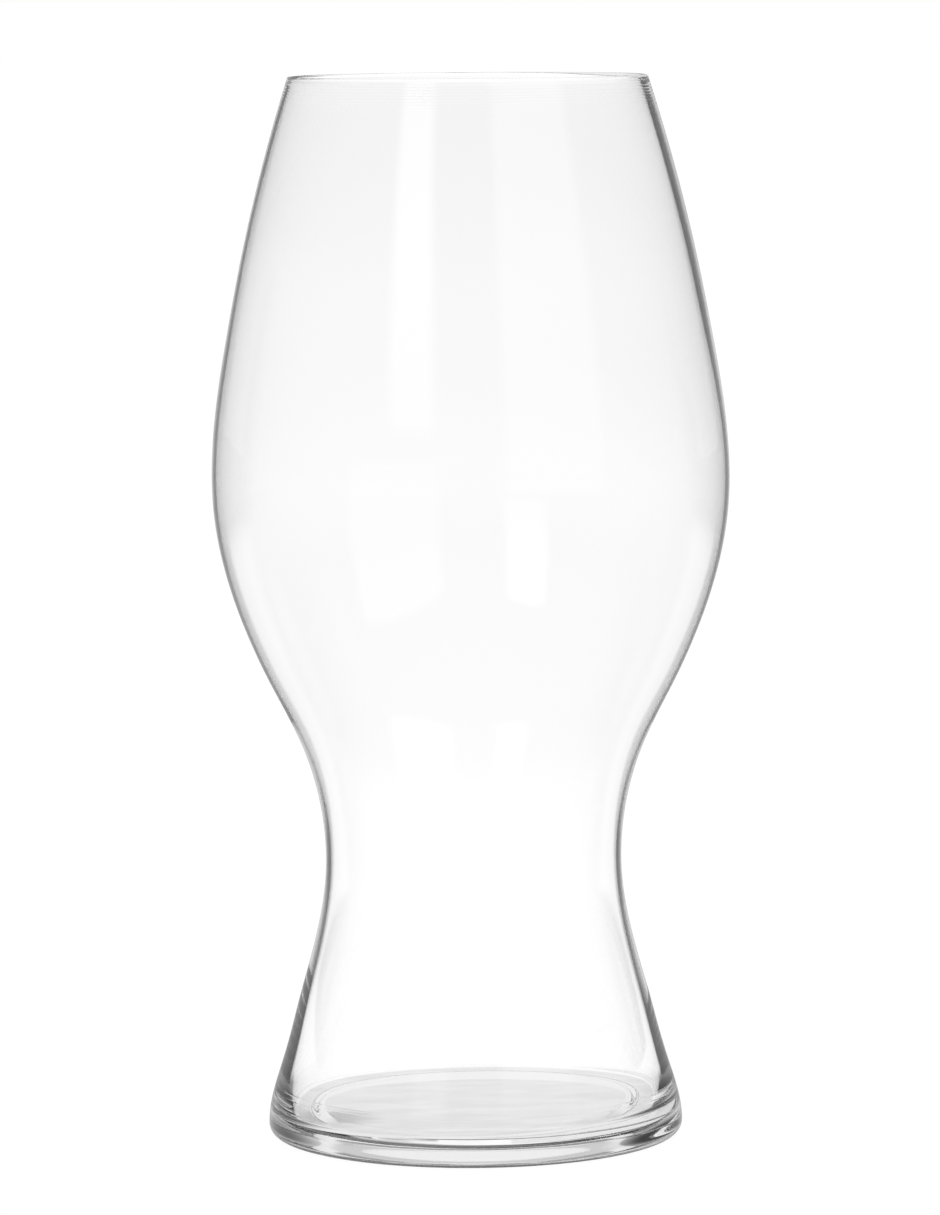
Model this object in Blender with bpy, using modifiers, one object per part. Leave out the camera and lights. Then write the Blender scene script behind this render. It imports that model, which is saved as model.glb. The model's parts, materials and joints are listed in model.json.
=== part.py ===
"""A clear drinking glass: a wide belly over a narrow waist, on a flared foot with a thick sole.

The glass is one turned shape. Its outer outline runs through a few stations, from the heel up to
the lip, with a smooth cubic between each pair. The inner outline follows it at the wall thickness
of each station and ends in the rounded corner of the floor. Level planes divide the shape into
four pieces that meet face to face: base, foot, bowl and rim.

Units are metres and +Z is up. The origin is the middle of the stand ring, on the table.
"""

import math
from collections import namedtuple

import bpy

MM = 0.001

# Heights above the table: the whole glass, and its widest and narrowest places
HEIGHT = 189.0 * MM
BELLY_HEIGHT = 117.6 * MM
WAIST_HEIGHT = 49.6 * MM
HEEL_HEIGHT = 2.2 * MM

# Where the stations between those lie, as shares of the way up from the one below
FLARE_SHARE = 0.33
TAPER_SHARE = 0.394
SHOULDER_SHARE = 0.459

# Outer radii at the stations
HEEL_RADIUS = 37.05 * MM
FLARE_RADIUS = 33.15 * MM
WAIST_RADIUS = 26.4 * MM
TAPER_RADIUS = 33.4 * MM
BELLY_RADIUS = 46.0 * MM
SHOULDER_RADIUS = 41.75 * MM
LIP_RADIUS = 31.95 * MM

# Leans of the wall in degrees, positive where the glass widens upwards
FLARE_LEAN = -13.3
FLARE_INNER_LEAN = -11.8
TAPER_LEAN = 28.5
SHOULDER_LEAN = -10.75
LIP_LEAN = -17.6

# Wall thicknesses, measured level, at the same stations and at the corner of the floor
CORNER_WALL = 3.33 * MM
FLARE_WALL = 1.63 * MM
WAIST_WALL = 0.85 * MM
TAPER_WALL = 0.58 * MM
BELLY_WALL = 0.72 * MM
SHOULDER_WALL = 1.0 * MM
LIP_WALL = 1.22 * MM

# The sole: its thickness, the rounding inside and out, and the hollow under it
SOLE_THICKNESS = 4.68 * MM
FLOOR_FILLET = 1.22 * MM
HEEL_ROUND = 2.87 * MM
STAND_WIDTH = 3.5 * MM
PUNT_SLOPE = 3.15 * MM
PUNT_DEPTH = 2.39 * MM

# The fire-polished lip is a piece of its own, this tall
RIM_HEIGHT = 4.0 * MM

# Fineness of the turned meshes
SIDES = 64
ARC_STEPS = 6
LEVEL_SPACING = 6.0 * MM
LEAST_STEP = 1 / 3
MERGE_DISTANCE = 0.01 * MM

# The look of the glass
GLASS_COLOUR = (0.96, 0.97, 0.97, 1.0)
GLASS_ROUGHNESS = 0.02
GLASS_IOR = 1.52

Station = namedtuple("Station", "height radius slope wall")


def lean_slope(degrees):
    """Change of radius for each unit of height on a wall that leans by this angle."""
    return math.tan(math.radians(degrees))


def between(low, high, share):
    """Height at a share of the way from one height up to another."""
    return low + (high - low) * share


# The lip's half round, and the planes where one piece ends and the next begins
LIP_TILT = math.radians(-LIP_LEAN)
BEAD_RADIUS = LIP_WALL * math.cos(LIP_TILT) / 2
LIP_PLANE = HEIGHT - BEAD_RADIUS * (1 - math.sin(LIP_TILT))
RIM_PLANE = LIP_PLANE - RIM_HEIGHT
BOWL_PLANE = WAIST_HEIGHT
FOOT_PLANE = SOLE_THICKNESS + FLOOR_FILLET


def outer_stations():
    """The outer outline's stations, from the heel up to the lip."""
    flare_height = between(HEEL_HEIGHT, WAIST_HEIGHT, FLARE_SHARE)
    taper_height = between(WAIST_HEIGHT, BELLY_HEIGHT, TAPER_SHARE)
    shoulder_height = between(BELLY_HEIGHT, LIP_PLANE, SHOULDER_SHARE)
    return [
        Station(HEEL_HEIGHT, HEEL_RADIUS, 0.0, CORNER_WALL),
        Station(flare_height, FLARE_RADIUS, lean_slope(FLARE_LEAN), FLARE_WALL),
        Station(WAIST_HEIGHT, WAIST_RADIUS, 0.0, WAIST_WALL),
        Station(taper_height, TAPER_RADIUS, lean_slope(TAPER_LEAN), TAPER_WALL),
        Station(BELLY_HEIGHT, BELLY_RADIUS, 0.0, BELLY_WALL),
        Station(shoulder_height, SHOULDER_RADIUS, lean_slope(SHOULDER_LEAN), SHOULDER_WALL),
        Station(LIP_PLANE, LIP_RADIUS, lean_slope(LIP_LEAN), LIP_WALL),
    ]


def cubic(low, high, height):
    """Radius at a height on the smooth cubic between two stations."""
    span = high.height - low.height
    t = (height - low.height) / span
    start = (1 + 2 * t) * (1 - t) ** 2 * low.radius
    end = t * t * (3 - 2 * t) * high.radius
    leave = t * (1 - t) ** 2 * span * low.slope
    arrive = t * t * (t - 1) * span * high.slope
    return start + end + leave + arrive


def radius_on(outline, height):
    """Radius of a whole outline at a height."""
    for low, high in zip(outline, outline[1:]):
        if height <= high.height:
            return cubic(low, high, height)
    return cubic(outline[-2], outline[-1], height)


OUTER = outer_stations()


def inner_stations():
    """The inner outline: the outer one less its wall, with its own flare and floor corner."""
    corner, flare, *upper = [s._replace(radius=s.radius - s.wall) for s in OUTER]
    corner = corner._replace(height=FOOT_PLANE)
    flare = flare._replace(slope=lean_slope(FLARE_INNER_LEAN))
    return [corner, flare, *upper]


INNER = inner_stations()


def levels(low, high):
    """Heights from a low plane up to a high one, evenly spaced between each pair of stations."""
    heights = [low]
    for below, above in zip(OUTER, OUTER[1:]):
        count = max(1, round((above.height - below.height) / LEVEL_SPACING))
        rise = (above.height - below.height) / count
        steps = [below.height + rise * k for k in range(count + 1)]
        room = rise * LEAST_STEP
        heights += [z for z in steps if low + room < z < high - room and z - heights[-1] > room]
    return heights + [high]


def wall_loop(low, high):
    """Closed outline of a ring of wall: down the outer side, then up the inner side."""
    heights = levels(low, high)
    down = [(radius_on(OUTER, z), z) for z in reversed(heights)]
    up = [(radius_on(INNER, z), z) for z in heights]
    return down + up


def arc(centre, radii, start, end):
    """Points on a round corner, from one angle to another in radians, both ends included."""
    points = []
    for k in range(ARC_STEPS + 1):
        angle = start + (end - start) * k / ARC_STEPS
        points.append((centre[0] + radii[0] * math.cos(angle), centre[1] + radii[1] * math.sin(angle)))
    return points


def rim_loop():
    """The lip: a half round that is tangent to both sides of the leaning wall."""
    centre = (LIP_RADIUS - BEAD_RADIUS * math.cos(LIP_TILT), HEIGHT - BEAD_RADIUS)
    crown = arc(centre, (BEAD_RADIUS, BEAD_RADIUS), math.pi + LIP_TILT, LIP_TILT)
    below_lip = levels(RIM_PLANE, LIP_PLANE)[:-1]
    down = [(radius_on(OUTER, z), z) for z in reversed(below_lip)]
    up = [(radius_on(INNER, z), z) for z in below_lip]
    return crown + down + up


def base_outline():
    """The sole, from the middle of the floor out over the corner, down the heel and in again."""
    corner_radius = HEEL_RADIUS - CORNER_WALL
    fillet_centre = (corner_radius - FLOOR_FILLET, FOOT_PLANE)
    floor_corner = arc(fillet_centre, (FLOOR_FILLET, FLOOR_FILLET), -math.pi / 2, 0.0)
    wall = [(radius_on(OUTER, z), z) for z in (FOOT_PLANE, (FOOT_PLANE + HEEL_HEIGHT) / 2)]
    stand_radius = HEEL_RADIUS - HEEL_ROUND
    heel = arc((stand_radius, HEEL_HEIGHT), (HEEL_ROUND, HEEL_HEIGHT), 0.0, -math.pi / 2)
    punt_radius = stand_radius - STAND_WIDTH
    punt = []
    for k in range(ARC_STEPS + 1):
        share = k / ARC_STEPS
        rise = PUNT_DEPTH * math.sin(math.pi / 2 * share) ** 2
        punt.append((punt_radius - PUNT_SLOPE * share, rise))
    return [(0.0, SOLE_THICKNESS)] + floor_corner + wall + heel + punt + [(0.0, PUNT_DEPTH)]


def glass_material(name):
    """Clear, neutral, smooth glass."""
    material = bpy.data.materials.new(name)
    material.use_nodes = True
    shader = material.node_tree.nodes["Principled BSDF"]
    shader.inputs["Base Color"].default_value = GLASS_COLOUR
    shader.inputs["Roughness"].default_value = GLASS_ROUGHNESS
    shader.inputs["Metallic"].default_value = 0.0
    shader.inputs["IOR"].default_value = GLASS_IOR
    shader.inputs["Transmission Weight"].default_value = 1.0
    return material


def turned_piece(name, outline, closed, home):
    """Turn an outline about the Z axis into a named piece of glass."""
    mesh = bpy.data.meshes.new(name)
    edges = [(k, k + 1) for k in range(len(outline) - 1)]
    if closed:
        edges.append((len(outline) - 1, 0))
    mesh.from_pydata([(radius, 0.0, height) for radius, height in outline], edges, [])
    mesh.materials.append(glass_material(name + "_glass"))
    piece = bpy.data.objects.new(name, mesh)
    home.objects.link(piece)
    turn = piece.modifiers.new("Turn", "SCREW")
    turn.axis = "Z"
    turn.angle = math.tau
    turn.steps = SIDES
    turn.render_steps = SIDES
    turn.use_merge_vertices = True
    turn.merge_threshold = MERGE_DISTANCE
    turn.use_smooth_shade = True
    return piece


def clear_scene():
    """Remove what the file opened with."""
    for item in list(bpy.data.objects):
        bpy.data.objects.remove(item, do_unlink=True)


def main():
    clear_scene()
    home = bpy.data.collections.new("water_glass")
    bpy.context.scene.collection.children.link(home)
    turned_piece("base", base_outline(), False, home)
    turned_piece("foot", wall_loop(FOOT_PLANE, BOWL_PLANE), True, home)
    turned_piece("bowl", wall_loop(BOWL_PLANE, RIM_PLANE), True, home)
    turned_piece("rim", rim_loop(), True, home)


main()
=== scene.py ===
# %% [markdown]
# # A clear drinking glass
#
# The object is one seamless piece of blown glass: a wide belly over a narrow waist, on a flared
# foot with a thick sole. It has no colour of its own, so everything that the eye sees is bent,
# reflected or missing light. The shape of the wall, the things around the glass and the order in
# which a ray meets them are the whole picture.
#
# The solid model divides the glass by level planes into rim, bowl, foot and base. Here the four
# are drawn as one skin again, because a face between two pieces of glass would show as a seam.

# %% Load the solid model
import json
import math

import bpy
import numpy as np
from mathutils import Matrix

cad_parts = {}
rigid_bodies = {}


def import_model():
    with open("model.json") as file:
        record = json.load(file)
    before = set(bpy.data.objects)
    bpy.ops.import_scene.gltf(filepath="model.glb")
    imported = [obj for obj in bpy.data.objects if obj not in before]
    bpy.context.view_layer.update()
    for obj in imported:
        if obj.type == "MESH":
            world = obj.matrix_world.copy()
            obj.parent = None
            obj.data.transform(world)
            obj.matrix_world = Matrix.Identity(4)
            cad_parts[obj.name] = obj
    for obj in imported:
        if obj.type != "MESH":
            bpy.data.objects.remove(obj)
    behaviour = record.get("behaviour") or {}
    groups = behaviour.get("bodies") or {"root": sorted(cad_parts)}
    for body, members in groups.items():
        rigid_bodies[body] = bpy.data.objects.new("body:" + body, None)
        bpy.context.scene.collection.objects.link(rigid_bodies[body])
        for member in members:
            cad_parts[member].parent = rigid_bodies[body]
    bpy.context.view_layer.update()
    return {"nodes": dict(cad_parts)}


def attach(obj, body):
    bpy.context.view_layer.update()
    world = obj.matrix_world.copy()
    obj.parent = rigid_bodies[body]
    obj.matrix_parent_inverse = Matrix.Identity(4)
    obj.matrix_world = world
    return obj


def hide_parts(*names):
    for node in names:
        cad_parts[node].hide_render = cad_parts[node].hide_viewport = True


MM = 0.001

for item in list(bpy.data.objects):
    bpy.data.objects.remove(item, do_unlink=True)

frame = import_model()
print("solid pieces:", sorted(frame["nodes"]))

# %% [markdown]
# ## The camera
#
# A picture of a turned shape says a lot about its camera: the ovals of the mouth and of the floor
# give the height that it looks from, and the way they change between top and bottom gives its
# distance. A long lens about a metre away fits both. The glass leans in the picture by less than
# half a degree, which is a roll of the camera and not a fault in the glass.

# %% Camera
PHOTO_HEIGHT = 1215
FOCAL_PIXELS = 6264
SENSOR = 36.0
CAMERA_DISTANCE = 1.11
CAMERA_HEIGHT = 0.21
CAMERA_ASIDE = -0.3 * MM
CAMERA_PITCH = math.radians(-5.94)
CAMERA_ROLL = math.radians(-0.46)


def photo_camera():
    """A camera that looks along +Y, a little down, with its long side upright."""
    data = bpy.data.cameras.new("photo_camera")
    data.sensor_width = SENSOR
    data.lens = FOCAL_PIXELS * SENSOR / PHOTO_HEIGHT
    camera = bpy.data.objects.new("photo_camera", data)
    place = Matrix.Translation((CAMERA_ASIDE, -CAMERA_DISTANCE, CAMERA_HEIGHT))
    tilt = Matrix.Rotation(math.pi / 2 + CAMERA_PITCH, 4, "X")
    camera.matrix_world = place @ tilt @ Matrix.Rotation(CAMERA_ROLL, 4, "Z")
    bpy.context.scene.collection.objects.link(camera)
    bpy.context.scene.camera = camera
    return camera


camera = photo_camera()
print(f"camera lens {camera.data.lens:.1f} mm")

# %% [markdown]
# ## Reading the outline off the solid pieces
#
# Every solid piece is a stack of rings of vertices round the Z axis, so a ring is just a radius
# and a height. Reading them here, rather than typing the sizes again, keeps the skin on the solid
# model whatever size that has. At each level of the wall the widest ring is the outside and the
# narrowest is the inside.

# %% Rings of the solid pieces
RING_DIGITS = 5


def rings(node):
    """Radius and height of each ring of vertices in a turned solid piece."""
    points = np.array([v.co for v in frame["nodes"][node].data.vertices])
    pairs = np.column_stack([np.hypot(points[:, 0], points[:, 1]), points[:, 2]])
    _, group = np.unique(pairs.round(RING_DIGITS), axis=0, return_inverse=True)
    group = group.ravel()
    count = np.bincount(group)
    return np.column_stack([np.bincount(group, column) / count for column in pairs.T])


def wall_sides(table):
    """Heights of the levels in a table of rings, with the outer and inner radius at each."""
    level = table[:, 1].round(RING_DIGITS)
    heights = np.unique(level)
    outer = np.array([table[level == z, 0].max() for z in heights])
    inner = np.array([table[level == z, 0].min() for z in heights])
    return heights, outer, inner


wall_height, wall_outer, wall_inner = wall_sides(np.vstack([rings("foot"), rings("bowl")]))
print(f"{len(wall_height)} levels of wall from {wall_height[0]:.4f} to {wall_height[-1]:.4f} m")

# %% [markdown]
# ## The rounded lip
#
# The lip was melted round after the glass was cut to height, so its section is a half circle.
# A circle's equation is linear in its centre and in one more number, so a least-squares fit
# through the lip's rings finds the circle at once. Its ends are the first and the last of the
# rings, as angles about its centre.

# %% Lip
LIP_CLEARANCE = 1.0 * MM


def circle_through(points):
    """Centre and radius of the circle that fits a set of outline points best."""
    unknowns = np.column_stack([2 * points, np.ones(len(points))])
    answer = np.linalg.lstsq(unknowns, (points**2).sum(axis=1), rcond=None)[0]
    return answer[:2], math.sqrt(answer[2] + answer[0] ** 2 + answer[1] ** 2)


lip_rings = rings("rim")
lip_rings = lip_rings[lip_rings[:, 1] > wall_height[-1] + LIP_CLEARANCE]
lip_centre, lip_radius = circle_through(lip_rings)
lip_angles = np.arctan2(*(lip_rings - lip_centre).T[::-1])
lip_angles = np.where(lip_angles < -math.pi / 2, lip_angles + math.tau, lip_angles)
lip_inner_angle = lip_angles.max()
lip_outer_angle = lip_angles.min()
print(f"lip {2 * lip_radius / MM:.2f} mm thick")

# %% [markdown]
# ## The sole
#
# The sizes of the sole are read off its rings too. Its heel is the widest ring, it stands on the
# rings within a tenth of a millimetre of the table, and the punt is the slight hollow under it. Of
# the rings within the corner of the floor, those in the upper half of the sole belong to the floor
# and those in the lower half to the punt.

# %% Sole
STAND_LEVEL = 0.1 * MM
AXIS_CLEARANCE = 1.0 * MM

sole_rings = rings("base")
foot_plane = wall_height[0]
heel_radius, heel_height = sole_rings[sole_rings[:, 0].argmax()]
standing = sole_rings[sole_rings[:, 1] < STAND_LEVEL]
stand_outer = standing[:, 0].max()
stand_inner = standing[:, 0].min()

corner_radius = wall_inner[0]
within = sole_rings[sole_rings[:, 0] < corner_radius]
upper_half = within[:, 1] > foot_plane / 2
floor_height = within[upper_half, 1].min()
floor_fillet = foot_plane - floor_height
punt_rings = within[~upper_half & (within[:, 0] > AXIS_CLEARANCE)]
punt_radius = punt_rings[:, 0].min()
punt_depth = punt_rings[:, 1].max()
print(f"sole {floor_height / MM:.2f} mm thick, punt {punt_depth / MM:.2f} mm deep")

# %% [markdown]
# ## One smooth wall
#
# Straight lines between the rings would show as bands in the reflections. A cubic spline whose
# slope and curvature run on through every ring doesn't. Its slopes come from one small set of
# equations, with the slope at each end given: upright where the wall leaves the heel or the floor,
# and tangent to the half circle at the lip.

# %% Wall
WALL_STEPS = 180
SAME_LEVEL = 0.01 * MM


def spline_slopes(x, y, first, last):
    """Slopes at the knots of the cubic spline through points, with both end slopes given."""
    gap = np.diff(x)
    rise = np.diff(y) / gap
    system = np.eye(len(x))
    wanted = np.zeros(len(x))
    wanted[0], wanted[-1] = first, last
    for k in range(1, len(x) - 1):
        system[k, k - 1 : k + 2] = gap[k], 2 * (gap[k - 1] + gap[k]), gap[k - 1]
        wanted[k] = 3 * (gap[k] * rise[k - 1] + gap[k - 1] * rise[k])
    return np.linalg.solve(system, wanted)


def spline(x, y, first, last, at):
    """Values of that spline."""
    slope = spline_slopes(x, y, first, last)
    k = np.clip(np.searchsorted(x, at) - 1, 0, len(x) - 2)
    gap = x[k + 1] - x[k]
    t = (at - x[k]) / gap
    start = (1 + 2 * t) * (1 - t) ** 2 * y[k] + t * (1 - t) ** 2 * gap * slope[k]
    end = t * t * (3 - 2 * t) * y[k + 1] + t * t * (t - 1) * gap * slope[k + 1]
    return start + end


def on_lip(angle):
    """A point of the lip's half circle."""
    return lip_centre + lip_radius * np.array([math.cos(angle), math.sin(angle)])


def wall_line(heights, radii, end_angle):
    """One side of the wall, from its upright foot up to where it runs into the lip."""
    end = on_lip(end_angle)
    x = np.append(heights, end[1])
    y = np.append(radii, end[0])
    at = np.linspace(x[0], x[-1], WALL_STEPS)
    return np.column_stack([spline(x, y, 0.0, -math.tan(lip_outer_angle), at), at])


over_heel = sole_rings[:, 1] > heel_height - SAME_LEVEL
under_foot = sole_rings[:, 1] < foot_plane - SAME_LEVEL
outside_sole = sole_rings[over_heel & under_foot & (sole_rings[:, 0] > corner_radius)]
outside_sole = outside_sole[outside_sole[:, 1].argsort()]
outer_heights = np.append(outside_sole[:, 1], wall_height)
outer_radii = np.append(outside_sole[:, 0], wall_outer)
inner_line = wall_line(wall_height, wall_inner, lip_inner_angle)
outer_line = wall_line(outer_heights, outer_radii, lip_outer_angle)[::-1]
print(f"wall of {len(inner_line)} points inside and {len(outer_line)} outside")

# %% [markdown]
# ## The whole outline
#
# The rest is arcs and straight stretches, joined end to end from the middle of the floor, up the
# inside, over the lip, down the outside and in again under the sole. The punt's slope is half a
# wave, so that it meets the stand ring and the hollow without an edge. Each point also notes how
# far it belongs to the inside, which the lip takes from one to nothing.

# %% Outline
LIP_STEPS = 16
FILLET_STEPS = 16
HEEL_STEPS = 20
FLOOR_STEPS = 10
STAND_STEPS = 3
PUNT_STEPS = 28


def arc(centre, radii, start, end, steps):
    """A round corner between two angles, without its end points."""
    angle = np.linspace(start, end, steps + 2)[1:-1]
    across = centre[0] + radii[0] * np.cos(angle)
    return np.column_stack([across, centre[1] + radii[1] * np.sin(angle)])


def run(start, end, steps):
    """A straight stretch, without its last point."""
    return np.linspace(start, end, steps, endpoint=False)


quarter = math.pi / 2
fillet_centre = (corner_radius - floor_fillet, foot_plane)
floor_line = run((0.0, floor_height), (fillet_centre[0], floor_height), FLOOR_STEPS)
fillet_line = arc(fillet_centre, (floor_fillet, floor_fillet), -quarter, 0.0, FILLET_STEPS)
lip_line = arc(lip_centre, (lip_radius, lip_radius), lip_inner_angle, lip_outer_angle, LIP_STEPS)
heel_size = (heel_radius - stand_outer, heel_height)
heel_line = arc((stand_outer, heel_height), heel_size, 0.0, -quarter, HEEL_STEPS)
stand_line = run((stand_outer, 0.0), (stand_inner, 0.0), STAND_STEPS)
punt_share = np.linspace(0.0, 1.0, PUNT_STEPS)
punt_slope = stand_inner + (punt_radius - stand_inner) * punt_share
punt_line = np.column_stack([punt_slope, punt_depth * np.sin(quarter * punt_share) ** 2])
crown_line = run((punt_radius, punt_depth), (0.0, punt_depth), FLOOR_STEPS)[1:]
punt_line = np.vstack([punt_line, crown_line, [(0.0, punt_depth)]])

inside_lines = [floor_line, [(fillet_centre[0], floor_height)], fillet_line, inner_line]
outside_lines = [outer_line, heel_line, stand_line, punt_line]
outline = np.vstack(inside_lines + [lip_line] + outside_lines)
inside_count = sum(len(line) for line in inside_lines)
outside_count = sum(len(line) for line in outside_lines)
over_lip = np.linspace(1, 0, LIP_STEPS + 2)[1:-1]
inside_share = np.concatenate([np.ones(inside_count), over_lip, np.zeros(outside_count)])
print(f"outline of {len(outline)} points")

# %% [markdown]
# ## Nodes from a script
#
# The finish, the turned shape and the studio are all node trees. Written out in full, each node
# takes four or five lines, so four small helpers come first: one adds a node and links or sets
# its inputs, two do arithmetic on numbers and on vectors, and one fades a value smoothly between
# two limits.

# %% Node helpers
def add(tree, kind, inputs=None, **settings):
    """A new node with its settings, and its inputs by name or number: a socket is linked."""
    node = tree.nodes.new(kind)
    for name, value in settings.items():
        setattr(node, name, value)
    for name, value in (inputs or {}).items():
        if isinstance(value, bpy.types.NodeSocket):
            tree.links.new(value, node.inputs[name])
        else:
            node.inputs[name].default_value = value
    return node


def calc(tree, operation, *values):
    """The result of a Math node."""
    return add(tree, "ShaderNodeMath", dict(enumerate(values)), operation=operation).outputs[0]


def vector(tree, operation, *values):
    """The result of a Vector Math node."""
    node = add(tree, "ShaderNodeVectorMath", dict(enumerate(values)), operation=operation)
    return node.outputs["Value" if operation == "LENGTH" else "Vector"]


def blend_range(tree, value, start, end, first, last):
    """A smooth change from one value to another between two limits."""
    limits = {"Value": value, "From Min": start, "From Max": end, "To Min": first, "To Max": last}
    return add(tree, "ShaderNodeMapRange", limits, interpolation_type="SMOOTHSTEP").outputs[0]


print("helpers:", add.__name__, calc.__name__, vector.__name__, blend_range.__name__)

# %% [markdown]
# ## What the making left on the surface
#
# A perfectly smooth skin looks computed. Blown glass carries marks a few thousandths to a few
# hundredths of a millimetre deep: fine rings under the lip, where it was cut and melted round as
# it turned, a few rings low on the foot, slow waves in the bowl, an uneven floor, and some seeds,
# which are bubbles as small as a grain of sand. They are too shallow for the mesh, so they are
# bump. Each is a height in metres that depends on the place on the glass: on its height above the
# table for the rings, which come from turning, and on noise for the rest. The heights are simply
# added up.

# %% Marks in the glass
MICRON = 1e-6
glass_height = lip_centre[1] + lip_radius

LIP_RING_STEP = 0.52 * MM
LIP_RING_DEPTH = 2.5 * MICRON
LIP_RING_FADE = (glass_height - 7 * MM, glass_height - 2 * MM)
FOOT_RINGS = (3.5 * MM, 5.4 * MM, 8.5 * MM)
FOOT_RING_WIDTH = 0.14 * MM
FOOT_RING_DEPTH = 9 * MICRON
WAVE_SCALE = 40.0
WAVE_DETAIL = 1.0
WAVE_DEPTH = 15 * MICRON
WAVE_FROM = (30 * MM, 60 * MM)
FLOOR_WAVE_SCALE = 70.0
FLOOR_WAVE_DETAIL = 2.0
FLOOR_WAVE_DEPTH = 15 * MICRON
FLOOR_WAVE_EDGE = (corner_radius - 9 * MM, corner_radius - 5 * MM)
FLOOR_WAVE_FROM = (punt_depth + 0.5 * MM, punt_depth + 1.0 * MM)
FLOOR_WAVE_UNTIL = (foot_plane, foot_plane + 1.0 * MM)
SEED_SCALE = 90.0
SEED_RADIUS = 0.12 * MM
SEED_DEPTH = 40 * MICRON


def ripple(tree, height, step, depth):
    """Even rings round the glass, one every step of height."""
    turn = calc(tree, "MULTIPLY", height, math.tau / step)
    return calc(tree, "MULTIPLY", calc(tree, "SINE", turn), depth)


def ring_groove(tree, height, level, width, depth):
    """One shallow groove round the glass."""
    away = calc(tree, "ABSOLUTE", calc(tree, "SUBTRACT", height, level))
    return blend_range(tree, away, 0.0, width, -depth, 0.0)


def uneven(tree, spot, scale, detail):
    """Noise between nothing and one."""
    noise = {"Vector": spot, "Scale": scale, "Detail": detail}
    return add(tree, "ShaderNodeTexNoise", noise).outputs[0]


def floor_waves(tree, spot, radius, height):
    """Unevenness of the floor alone: not of its corner, the wall or the punt."""
    on_floor = blend_range(tree, radius, *FLOOR_WAVE_EDGE, 1.0, 0.0)
    above_punt = blend_range(tree, height, *FLOOR_WAVE_FROM, 0.0, 1.0)
    low_down = blend_range(tree, height, *FLOOR_WAVE_UNTIL, 1.0, 0.0)
    pressed = calc(tree, "MULTIPLY", calc(tree, "MULTIPLY", on_floor, low_down), above_punt)
    noise = uneven(tree, spot, FLOOR_WAVE_SCALE, FLOOR_WAVE_DETAIL)
    return calc(tree, "MULTIPLY", calc(tree, "MULTIPLY", noise, FLOOR_WAVE_DEPTH), pressed)


def making_marks(tree, spot):
    """Height of all the marks together at a place on the glass."""
    x, y, height = add(tree, "ShaderNodeSeparateXYZ", {0: spot}).outputs
    radius = vector(tree, "LENGTH", add(tree, "ShaderNodeCombineXYZ", {0: x, 1: y}).outputs[0])
    lip_ripple = ripple(tree, height, LIP_RING_STEP, LIP_RING_DEPTH)
    under_lip = blend_range(tree, height, *LIP_RING_FADE, 0.0, 1.0)
    lip = calc(tree, "MULTIPLY", lip_ripple, under_lip)
    ring_size = (FOOT_RING_WIDTH, FOOT_RING_DEPTH)
    grooves = [ring_groove(tree, height, ring, *ring_size) for ring in FOOT_RINGS]
    in_bowl = blend_range(tree, height, *WAVE_FROM, 0.0, WAVE_DEPTH)
    waves = calc(tree, "MULTIPLY", uneven(tree, spot, WAVE_SCALE, WAVE_DETAIL), in_bowl)
    floor = floor_waves(tree, spot, radius, height)
    cells = add(tree, "ShaderNodeTexVoronoi", {"Vector": spot, "Scale": SEED_SCALE})
    from_seed = cells.outputs["Distance"]
    seeds = blend_range(tree, from_seed, 0.0, SEED_RADIUS * SEED_SCALE, SEED_DEPTH, 0.0)
    total = waves
    for mark in [lip, *grooves, floor, seeds]:
        total = calc(tree, "ADD", total, mark)
    return total


print(f"marks {LIP_RING_DEPTH / MICRON:.1f} to {SEED_DEPTH / MICRON:.0f} microns deep")

# %% [markdown]
# ## Clear glass
#
# The finish itself is one Principled shader: white, with full transmission and the index of
# common table glass. A Glass shader would do as well here, but the Principled one is what other
# programs read. Its roughness is almost nothing, a little more in faint patches where hands and
# cloths have been, and its normal is tilted by the marks.

# %% Material
GLASS_IOR = 1.52
HAZE_SCALE = 30.0
HAZE_EDGE = (0.4, 0.7)
HAZE = (0.0, 0.012)


def clear_glass():
    """Colourless blown glass."""
    material = bpy.data.materials.new("clear_glass")
    material.use_nodes = True
    tree = material.node_tree
    spot = add(tree, "ShaderNodeTexCoord").outputs["Object"]
    patches = add(tree, "ShaderNodeTexNoise", {"Vector": spot, "Scale": HAZE_SCALE}).outputs[0]
    marks = making_marks(tree, spot)
    bump = add(tree, "ShaderNodeBump", {"Height": marks, "Strength": 1.0, "Distance": 1.0})
    shader = tree.nodes["Principled BSDF"]
    shader.inputs["Base Color"].default_value = (1.0, 1.0, 1.0, 1.0)
    shader.inputs["IOR"].default_value = GLASS_IOR
    shader.inputs["Transmission Weight"].default_value = 1.0
    tree.links.new(blend_range(tree, patches, *HAZE_EDGE, *HAZE), shader.inputs["Roughness"])
    tree.links.new(bump.outputs["Normal"], shader.inputs["Normal"])
    return material


glass_finish = clear_glass()
print(f"{glass_finish.name}: {len(glass_finish.node_tree.nodes)} nodes")

# %% [markdown]
# ## Turning the outline
#
# A Screw modifier would turn the outline too. Geometry Nodes do it here, because the same tree can
# add what a lathe can't. On this one glass the inside of the bowl stands a third of a millimetre
# off centre, and the floor slopes by under two degrees: both show, as dark lines that are wider on
# the right than on the left. The tree lays a grid over the outline with one column of points for
# each side, moves each point to its radius, angle and height, and then shifts what is inside.

# %% Turned places
INSIDE = "inside"


def outline_value(tree, line, value, index, kind):
    """What the outline holds at the point with this index."""
    inputs = {"Geometry": line, "Value": value, "Index": index}
    return add(tree, "GeometryNodeSampleIndex", inputs, data_type=kind).outputs[0]


def inside_shift(tree, height, inner, start, end, amount):
    """An amount that grows from nothing to the whole between two heights, on the inside alone."""
    share = blend_range(tree, height, start, end, 0.0, 1.0)
    return calc(tree, "MULTIPLY", calc(tree, "MULTIPLY", share, amount), inner)


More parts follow.
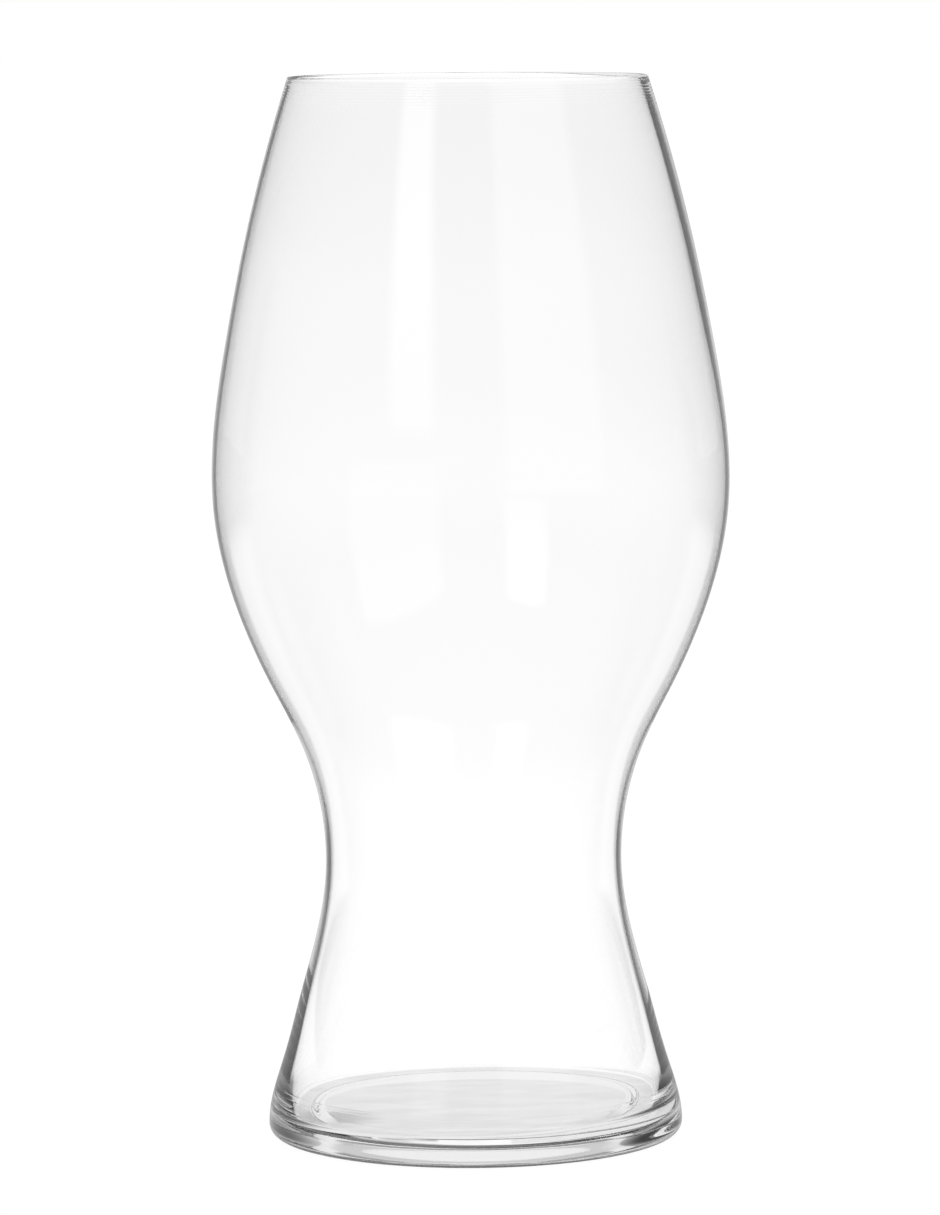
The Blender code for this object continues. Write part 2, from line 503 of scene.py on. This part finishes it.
def turned_place(tree, given, ring, angle):
    """Where a point of the outline goes at an angle, with the drift and the slope of the inside."""
    line = given["Outline"]
    position = add(tree, "GeometryNodeInputPosition").outputs[0]
    section = outline_value(tree, line, position, ring, "FLOAT_VECTOR")
    inside = add(tree, "GeometryNodeInputNamedAttribute", {"Name": INSIDE}, data_type="FLOAT")
    inner = outline_value(tree, line, inside.outputs[0], ring, "FLOAT")
    radius, _, height = add(tree, "ShaderNodeSeparateXYZ", {0: section}).outputs

    x = calc(tree, "MULTIPLY", radius, calc(tree, "COSINE", angle))
    y = calc(tree, "MULTIPLY", radius, calc(tree, "SINE", angle))
    drift = (given["Drift From"], given["Drift Until"], given["Wall Drift"])
    slope = (given["Slope Until"], 0.0, given["Floor Slope"])
    shift = inside_shift(tree, height, inner, *drift)
    lift = calc(tree, "MULTIPLY", x, inside_shift(tree, height, inner, *slope))
    moved = {0: calc(tree, "ADD", x, shift), 1: y, 2: calc(tree, "ADD", height, lift)}
    return add(tree, "ShaderNodeCombineXYZ", moved).outputs[0]


print("inside of the outline marked from", inside_share.min(), "to", inside_share.max())

# %% [markdown]
# The tree has a named input for each size, so that it could turn any other outline as well. A
# point's index in the grid gives its ring and its side, the side gives its angle, and points that
# land on the same place, on the axis and where the last side meets the first, become one.

# %% Turning tree
SIDES = 192
MERGE_DISTANCE = 0.002 * MM
TURN_INPUTS = {
    "Outline": "Geometry",
    "Sides": "Int",
    "Wall Drift": "Float",
    "Drift From": "Float",
    "Drift Until": "Float",
    "Floor Slope": "Float",
    "Slope Until": "Float",
    "Glass": "Material",
}


def turning_tree():
    """Node tree that turns an outline in the XZ plane about the Z axis."""
    tree = bpy.data.node_groups.new("turned_glass", "GeometryNodeTree")
    for name, kind in TURN_INPUTS.items():
        tree.interface.new_socket(name, in_out="INPUT", socket_type="NodeSocket" + kind)
    tree.interface.new_socket("Turned", in_out="OUTPUT", socket_type="NodeSocketGeometry")
    given = add(tree, "NodeGroupInput").outputs

    size = add(tree, "GeometryNodeAttributeDomainSize", {"Geometry": given["Outline"]})
    around = calc(tree, "ADD", given["Sides"], 1.0)
    count = size.outputs["Point Count"]
    grid = add(tree, "GeometryNodeMeshGrid", {"Vertices X": count, "Vertices Y": around})
    index = add(tree, "GeometryNodeInputIndex").outputs[0]
    ring = calc(tree, "FLOOR", calc(tree, "DIVIDE", calc(tree, "ADD", index, 0.5), around))
    side = calc(tree, "SUBTRACT", index, calc(tree, "MULTIPLY", ring, around))
    angle = calc(tree, "MULTIPLY", calc(tree, "DIVIDE", side, given["Sides"]), math.tau)

    turned = {"Geometry": grid.outputs["Mesh"], "Position": turned_place(tree, given, ring, angle)}
    skin = add(tree, "GeometryNodeSetPosition", turned)
    merge = {"Geometry": skin.outputs[0], "Distance": MERGE_DISTANCE}
    closed = add(tree, "GeometryNodeMergeByDistance", merge)
    smooth = add(tree, "GeometryNodeSetShadeSmooth", {"Geometry": closed.outputs[0]})
    real = add(tree, "GeometryNodeRealizeInstances", {"Geometry": smooth.outputs[0]})
    made_of = {"Geometry": real.outputs[0], "Material": given["Glass"]}
    finish = add(tree, "GeometryNodeSetMaterial", made_of)
    add(tree, "NodeGroupOutput", {"Turned": finish.outputs[0]})
    return tree


print("turning tree takes:", ", ".join(TURN_INPUTS))

# %% [markdown]
# The outline goes in as a string of vertices, each marked as inside or outside. What comes out is
# made a plain mesh at once, so that nothing is left to evaluate when the glass is shown or
# exported.

# %% The glass itself
WALL_DRIFT = -0.33 * MM
DRIFT_UNTIL = 162 * MM
FLOOR_SLOPE = math.tan(math.radians(1.7))
SLOPE_UNTIL = 30 * MM


def turned_glass():
    """The whole glass as one closed mesh."""
    line = bpy.data.meshes.new("glass_outline")
    points = [(radius, 0.0, height) for radius, height in outline]
    line.from_pydata(points, [(k, k + 1) for k in range(len(points) - 1)], [])
    line.attributes.new(INSIDE, "FLOAT", "POINT").data.foreach_set("value", inside_share)
    maker = bpy.data.objects.new("glass_outline", line)
    bpy.context.scene.collection.objects.link(maker)
    turn = maker.modifiers.new("Turn", "NODES")
    turn.node_group = turning_tree()
    sizes = {
        "Sides": SIDES,
        "Wall Drift": WALL_DRIFT,
        "Drift From": wall_height[wall_outer.argmax()],
        "Drift Until": DRIFT_UNTIL,
        "Floor Slope": FLOOR_SLOPE,
        "Slope Until": SLOPE_UNTIL,
        "Glass": glass_finish,
    }
    for socket in turn.node_group.interface.items_tree:
        if socket.name in sizes:
            turn[socket.identifier] = sizes[socket.name]
    evaluated = maker.evaluated_get(bpy.context.evaluated_depsgraph_get())
    mesh = bpy.data.meshes.new_from_object(evaluated)
    mesh.name = "glass"
    bpy.data.objects.remove(maker)
    glass = bpy.data.objects.new("glass", mesh)
    bpy.context.scene.collection.objects.link(glass)
    return glass


glass = turned_glass()
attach(glass, "root")
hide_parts("rim", "bowl", "foot", "base")
print(f"glass: {len(glass.data.polygons)} faces")

# %% [markdown]
# ## Light
#
# Clear glass has no look of its own: it shows its surroundings, bent. On an all-white set it would
# nearly vanish, so a photographer stands dark and white cards round it, out of the picture, and
# the glass draws its own edges with them. Real cards take many tries, and each one also shows up
# in places where it isn't wanted. Here the surroundings ask each ray how it has come, with the
# Light Path node, and answer with one plain brightness for each kind of way: straight, once
# through the glass, off the near wall, off the far wall, or after many turns inside the wall, as
# in a fibre. After more than twenty turns, as under the lip, light comes out bright again.
# Transmission Depth counts the faces that a ray went through, and Glossy Depth its reflections.
# Both are whole numbers, so each limit lies half way between two of them.

# %% Kinds of ray
ANY = 0.5
TWICE = 1.5
FIRST_WALL_FACES = 2.5
GUIDED = 4.5
DEEP = 6.5
LONG_WAY = 21.5
OUTSIDE = 0.45
BACK = 0.9
GUIDED_DARK = 0.02
LONG_LIGHT = 0.85


def choose(tree, share, first, second):
    """One value or another, or a mix of the two."""
    return add(tree, "ShaderNodeMix", {0: share, 2: first, 3: second}).outputs[0]


def more_than(tree, value, limit):
    """One where a value is over a limit, and nothing elsewhere."""
    return calc(tree, "GREATER_THAN", value, limit)


def seen_by_glass(tree, plain, through, in_wall, guide, far_wall):
    """Brightness of the surroundings by the way that a ray has come."""
    path = add(tree, "ShaderNodeLightPath").outputs
    faces, turns = path["Transmission Depth"], path["Glossy Depth"]
    bent = more_than(tree, faces, ANY)
    trapped = choose(tree, more_than(tree, turns, LONG_WAY), GUIDED_DARK, LONG_LIGHT)
    near_wall = choose(tree, more_than(tree, turns, GUIDED), in_wall, guide)
    near_wall = choose(tree, more_than(tree, turns, DEEP), near_wall, trapped)
    far_wall = choose(tree, more_than(tree, turns, TWICE), far_wall, BACK)
    reflected = choose(tree, more_than(tree, faces, FIRST_WALL_FACES), near_wall, far_wall)
    reflected = choose(tree, bent, OUTSIDE, reflected)
    straight = choose(tree, bent, plain, through)
    return choose(tree, more_than(tree, turns, ANY), straight, reflected)


print(f"light in the wall counts as guided from {math.ceil(GUIDED)} turns on")

# %% [markdown]
# ## The walls of the set
#
# The world is the studio's wall. To the camera it is white. For light out of the wall of the glass
# it has a white card behind the glass, dimmer ones every 45 degrees and dark gaps between them,
# which make the dark lines along both edges. The side with the camera is dim, and so is what lies
# high up, which gives the upper bowl its soft grey.

# %% Studio wall
FLOOR_RADIUS = 12.0
THROUGH_FAR = 0.92
THROUGH_POOL_LIGHT = 0.2
THROUGH_REACH = 2.0
WALL_DARK = 0.02
CARD_STEP = math.radians(45)
CARD_HALF = (math.radians(12), math.radians(34))
CARD_WIDENS = (0.08, 0.30)
CARD_SOFT = math.radians(2)
CARD_SIDE = 0.3
FRONT = 0.3
FRONT_FROM = (math.radians(58), math.radians(72))
CANOPY = (0.95, 1.10)
CANOPY_LEAN = 0.5
OVERHEAD = 0.7
BACK_TOP = (0.40, 0.55)
CEILING = 0.2
FRONT_TOP = (0.0, 0.40)
FRONT_CEILING = 0.55
GUIDED_LIGHT = 0.75
GUIDED_ASIDE = (math.radians(24), math.radians(30))
GUIDED_TOP = (0.12, 0.25)


def white_cards(tree, azimuth, half):
    """White cards round the set, one behind the glass and dimmer ones at every step."""
    turn = calc(tree, "ABSOLUTE", calc(tree, "WRAP", azimuth, CARD_STEP / 2, -CARD_STEP / 2))
    card = blend_range(tree, calc(tree, "SUBTRACT", turn, half), CARD_SOFT, -CARD_SOFT, 0.0, 1.0)
    behind = calc(tree, "LESS_THAN", calc(tree, "ABSOLUTE", azimuth), CARD_STEP / 2)
    return calc(tree, "MULTIPLY", card, choose(tree, behind, CARD_SIDE, 1.0))


def studio_wall():
    """A world that is white to the camera and made of cards to the glass."""
    world = bpy.data.worlds.new("studio_wall")
    world.use_nodes = True
    tree = world.node_tree
    way = add(tree, "ShaderNodeTexCoord").outputs["Generated"]
    x, y, rise = add(tree, "ShaderNodeSeparateXYZ", {0: way}).outputs
    azimuth = calc(tree, "ARCTAN2", x, y)
    side_angle = calc(tree, "ABSOLUTE", azimuth)
    front = blend_range(tree, side_angle, *FRONT_FROM, 0.0, 1.0)

    half = blend_range(tree, rise, *CARD_WIDENS, *CARD_HALF)
    cards = calc(tree, "MAXIMUM", WALL_DARK, white_cards(tree, azimuth, half))
    overhead = calc(tree, "ADD", rise, calc(tree, "MULTIPLY", y, CANOPY_LEAN))
    canopy = blend_range(tree, overhead, *CANOPY, 0.0, 1.0)
    in_wall = choose(tree, front, choose(tree, canopy, cards, OVERHEAD), FRONT)

    far_behind = blend_range(tree, rise, *BACK_TOP, BACK, CEILING)
    far_front = blend_range(tree, rise, *FRONT_TOP, BACK, FRONT_CEILING)
    far_wall = choose(tree, front, far_behind, far_front)
    low = blend_range(tree, rise, *GUIDED_TOP, GUIDED_LIGHT, GUIDED_DARK)
    guide = blend_range(tree, side_angle, *GUIDED_ASIDE, low, GUIDED_DARK)

    # Seen through the glass, the wall goes on with the table's painted pool of light as it is at
    # its edge
    through = THROUGH_FAR + THROUGH_POOL_LIGHT / (1 + FLOOR_RADIUS / THROUGH_REACH)
    background = tree.nodes["Background"]
    background.inputs["Color"].default_value = (1, 1, 1, 1)
    light = seen_by_glass(tree, 1.0, through, in_wall, guide, far_wall)
    tree.links.new(light, background.inputs["Strength"])
    bpy.context.scene.world = world
    return world


wall = studio_wall()
print(f"studio wall: {len(wall.node_tree.nodes)} nodes")

# %% [markdown]
# ## The table under the foot
#
# Under the foot the table is painted dimmer, as a painted shadow of the glass, with soft streaks of
# painted light and shade and a darker painted shadow patch where the sole throws the light about:
# that is what the eye takes for the floor of the glass. Light that is still inside the sole when it
# meets the table sees the ring that the glass stands on, with a painted contact shadow that leaves
# it light in the middle and dark at both ends, or the table in the hollow, in painted shade.

# %% Under the foot
EDGE_SOFT = 0.5 * MM
# Painted shade: the hollow under the glass, and a contact shadow at both ends of the stand ring
SHADE_UNDER_PUNT = 0.73
CONTACT_SHADOW_TONES = (0.8, 0.02)
CONTACT_SHADOW_ENDS = (26 * MM, 34 * MM)
# Streaks of painted light and shade under the sole, all dimmer than the open table
STREAK_SCALE = (60.0, 180.0, 1.0)
STREAK_DETAIL = 3.0
STREAK_MEAN = 0.5
STREAK_RANGE = (0.3, 0.7)
STREAK_LIGHT = (0.66, 0.82)
# A darker patch of painted shadow on the table under the sole
SHADOW_PATCH_CENTRE = (-25 * MM, -8 * MM, 0.0)
SHADOW_PATCH_SIZE = (9 * MM, 9 * MM, 1.0)
SHADOW_PATCH_EDGE = (0.3, 1.1)
SHADOW_PATCH_DARK = 0.5


def inside_ring(tree, distance, radius):
    """One inside a circle on the table and nothing outside it, with a soft edge."""
    return blend_range(tree, distance, radius - EDGE_SOFT, radius + EDGE_SOFT, 1.0, 0.0)


def painted_shadow_under_sole(tree, spot):
    """Painted shadow of the foot on the table, with painted streaks and a darker painted patch."""
    noise = uneven(tree, vector(tree, "MULTIPLY", spot, STREAK_SCALE), 1.0, STREAK_DETAIL)
    streaks = blend_range(tree, noise, *STREAK_RANGE, *STREAK_LIGHT)
    aside = vector(tree, "DIVIDE", vector(tree, "SUBTRACT", spot, SHADOW_PATCH_CENTRE), SHADOW_PATCH_SIZE)
    wander = calc(tree, "SUBTRACT", noise, STREAK_MEAN)
    away = calc(tree, "ADD", vector(tree, "LENGTH", aside), wander)
    return calc(tree, "MULTIPLY", streaks, blend_range(tree, away, *SHADOW_PATCH_EDGE, SHADOW_PATCH_DARK, 1.0))


def painted_stand_shadow(tree, distance, x):
    """For light still in the sole: the hollow in painted shade, or the ring's painted contact
    shadow.
    """
    stand = blend_range(tree, calc(tree, "ABSOLUTE", x), *CONTACT_SHADOW_ENDS, *CONTACT_SHADOW_TONES)
    return choose(tree, inside_ring(tree, distance, stand_inner), stand, SHADE_UNDER_PUNT)


print(f"stand ring {2 * stand_inner / MM:.1f} to {2 * stand_outer / MM:.1f} mm across")

# %% [markdown]
# ## The table around the glass
#
# The table glows by itself, so that it stays white to the camera without more light on the glass,
# and it is a little matt as well, so that it keeps a faint shadow. To light out of the wall of the
# glass it is painted: away from the foot it goes on with the painted light of the card behind the
# glass, with painted dark gaps beside it, and further out on both sides it is painted white, as the
# light of the side cards, up to where they stand. A ray that comes from inside the sole is told by
# its length, which is a few millimetres.

# %% Table
FLOOR_GLOW = 0.96
FLOOR_MATT = 0.06
FLOOR_SIDES = 96
CLOSE = 20 * MM
GUIDED_SHADE_UNDER = 0.2
TABLE_ASIDE = (math.radians(31), math.radians(37))
CARD_STANDS = (0.45, 0.80)


def painted_cards_on_table(tree, x, y, distance, side_angle):
    """The table as light out of the wall of the glass sees it: painted card light and dark gaps."""
    edge = (CARD_HALF[0] - CARD_SOFT, CARD_HALF[0] + CARD_SOFT)
    behind = blend_range(tree, side_angle, *edge, 1.0, WALL_DARK)
    past_foot = calc(tree, "SUBTRACT", calc(tree, "ABSOLUTE", x), corner_radius)
    turned_out = calc(tree, "ARCTAN2", calc(tree, "MAXIMUM", past_foot, 0.0), y)
    white = blend_range(tree, turned_out, *TABLE_ASIDE, 0.0, 1.0)
    white = calc(tree, "MULTIPLY", white, blend_range(tree, distance, *CARD_STANDS, 1.0, 0.0))
    front = blend_range(tree, side_angle, *FRONT_FROM, 0.0, 1.0)
    return choose(tree, front, calc(tree, "MAXIMUM", behind, white), FRONT)


def table_light(tree):
    """How bright the table is to each kind of ray."""
    spot = add(tree, "ShaderNodeTexCoord").outputs["Object"]
    x, y, _ = add(tree, "ShaderNodeSeparateXYZ", {0: spot}).outputs
    distance = vector(tree, "LENGTH", spot)
    side_angle = calc(tree, "ABSOLUTE", calc(tree, "ARCTAN2", x, y))
    clear = more_than(tree, add(tree, "ShaderNodeLightPath").outputs["Ray Length"], CLOSE)

    # Painted light: seen through the glass, the open table is brighter near the glass and fades
    # outwards
    fall = calc(tree, "ADD", 1.0, calc(tree, "DIVIDE", distance, THROUGH_REACH))
    near = calc(tree, "DIVIDE", THROUGH_POOL_LIGHT, fall)
    painted_pool_on_table = calc(tree, "ADD", THROUGH_FAR - FLOOR_MATT, near)
    below_sole = inside_ring(tree, distance, stand_outer)
    through = choose(tree, below_sole, painted_pool_on_table, painted_shadow_under_sole(tree, spot))
    contact = painted_stand_shadow(tree, distance, x)
    in_wall = choose(tree, clear, contact, painted_cards_on_table(tree, x, y, distance, side_angle))
    # Painted light for light guided in the wall: bright behind the glass, dark aside, painted shade
    # under the sole
    guide = blend_range(tree, side_angle, *GUIDED_ASIDE, GUIDED_LIGHT, GUIDED_DARK)
    guide = choose(tree, clear, calc(tree, "MULTIPLY", contact, GUIDED_SHADE_UNDER), guide)
    return seen_by_glass(tree, FLOOR_GLOW, through, in_wall, guide, BACK)


def table_finish():
    """A pale table that glows, with a little matt white in it for shadows."""
    material = bpy.data.materials.new("pale_table")
    material.use_nodes = True
    tree = material.node_tree
    tree.nodes.remove(tree.nodes["Principled BSDF"])
    glow = add(tree, "ShaderNodeEmission", {"Strength": table_light(tree)}).outputs[0]
    matt_white = (FLOOR_MATT, FLOOR_MATT, FLOOR_MATT, 1)
    matt = add(tree, "ShaderNodeBsdfDiffuse", {"Color": matt_white}).outputs[0]
    both = add(tree, "ShaderNodeAddShader", {0: glow, 1: matt}).outputs[0]
    tree.links.new(both, tree.nodes["Material Output"].inputs["Surface"])
    return material


bpy.ops.mesh.primitive_circle_add(vertices=FLOOR_SIDES, radius=FLOOR_RADIUS, fill_type="NGON")
table = bpy.context.object
table.name = "studio_floor"
table.data.materials.append(table_finish())
print(f"table {2 * FLOOR_RADIUS:.0f} m across")

# %% [markdown]
# ## Two soft lights
#
# The bright strip on the left of the bowl and the broad pale panel on the right are two soft
# lights in front of the glass, seen in its outer face. A curved wall shows a light narrower and
# lower than it is, so each light is set by where its sides and ends lie as seen from the glass:
# angles to the side at its low and its high edge, and angles up. An area light is one plain
# rectangle. Nodes on its own surface give it slanting sides, soft edges and less light below than
# above.

# %% Softboxes
BOX_DISTANCE = 1.2
BOX_LEVEL = 0.12
BOX_MARGIN = 1.15
BOX_END_SOFT = 0.05
BOX_MIDDLE = 0.5


def box_glow(tree, edges, lights, climb_end, soft):
    """Strength over a soft light, which has its low and high edges as shares of its width."""
    spot = add(tree, "ShaderNodeNewGeometry").outputs["Parametric"]
    across, up, _ = add(tree, "ShaderNodeSeparateXYZ", {0: spot}).outputs
    left, right, high_left, high_right = edges
    from_left = calc(tree, "SUBTRACT", across, choose(tree, up, left, high_left))
    from_right = calc(tree, "SUBTRACT", choose(tree, up, right, high_right), across)
    inset = calc(tree, "MINIMUM", from_left, from_right)
    rise = calc(tree, "MINIMUM", up, calc(tree, "SUBTRACT", 1.0, up))
    inside = blend_range(tree, inset, -soft / 2, soft / 2, 0.0, 1.0)
    level = blend_range(tree, rise, 0.0, BOX_END_SOFT, 0.0, 1.0)
    climb = blend_range(tree, up, 0.0, climb_end, *lights)
    return calc(tree, "MULTIPLY", calc(tree, "MULTIPLY", inside, level), climb)


def softbox(name, low_sides, high_sides, ends, lights, climb_end, soft):
    """A soft light with its sides, low and high, and its two ends in degrees from the glass."""
    middle = math.radians(sum(low_sides + high_sides) / 4)
    angles = [math.radians(side) - middle for side in low_sides + high_sides]
    sides = [BOX_DISTANCE * math.tan(angle) for angle in angles]
    low, high = (BOX_LEVEL + BOX_DISTANCE * math.tan(math.radians(end)) for end in ends)
    half = max(abs(side) for side in sides) * BOX_MARGIN
    data = bpy.data.lights.new(name, "AREA")
    data.shape = "RECTANGLE"
    data.size = 2 * half
    data.size_y = high - low
    data.energy = math.pi * data.size * data.size_y
    data.use_nodes = True
    tree = data.node_tree
    edges = [BOX_MIDDLE + side / half / 2 for side in sides]
    strength = box_glow(tree, edges, lights, climb_end, soft)
    tree.links.new(strength, tree.nodes["Emission"].inputs["Strength"])
    light = bpy.data.objects.new(name, data)
    light.visible_camera = False
    place = Matrix.Translation((0, -BOX_DISTANCE, (low + high) / 2))
    turn = Matrix.Rotation(math.pi / 2, 4, "X")
    light.matrix_world = Matrix.Rotation(middle, 4, "Z") @ place @ turn
    bpy.context.scene.collection.objects.link(light)
    return light


left_box = softbox(
    "left_box",
    low_sides=(-35.6, -15.3),
    high_sides=(-43.0, -21.5),
    ends=(8.5, 36.0),
    lights=(0.33, 0.95),
    climb_end=0.65,
    soft=0.24,
)
right_box = softbox(
    "right_box",
    low_sides=(15.1, 58.2),
    high_sides=(16.0, 66.5),
    ends=(-5.0, 38.0),
    lights=(0.2, 0.46),
    climb_end=0.85,
    soft=0.11,
)
print(f"soft lights {left_box.data.size:.2f} and {right_box.data.size:.2f} m wide")

# %% [markdown]
# ## Finish
#
# Light that is caught in the wall turns round many times before it comes out, most of all under
# the lip. With few bounces it would be cut off and come out black, so there are plenty.

# %% Bounces
BOUNCES = 128
scene = bpy.context.scene
scene.view_settings.view_transform = "Standard"
scene.cycles.max_bounces = BOUNCES
scene.cycles.glossy_bounces = BOUNCES
scene.cycles.transmission_bounces = BOUNCES

bpy.context.view_layer.update()
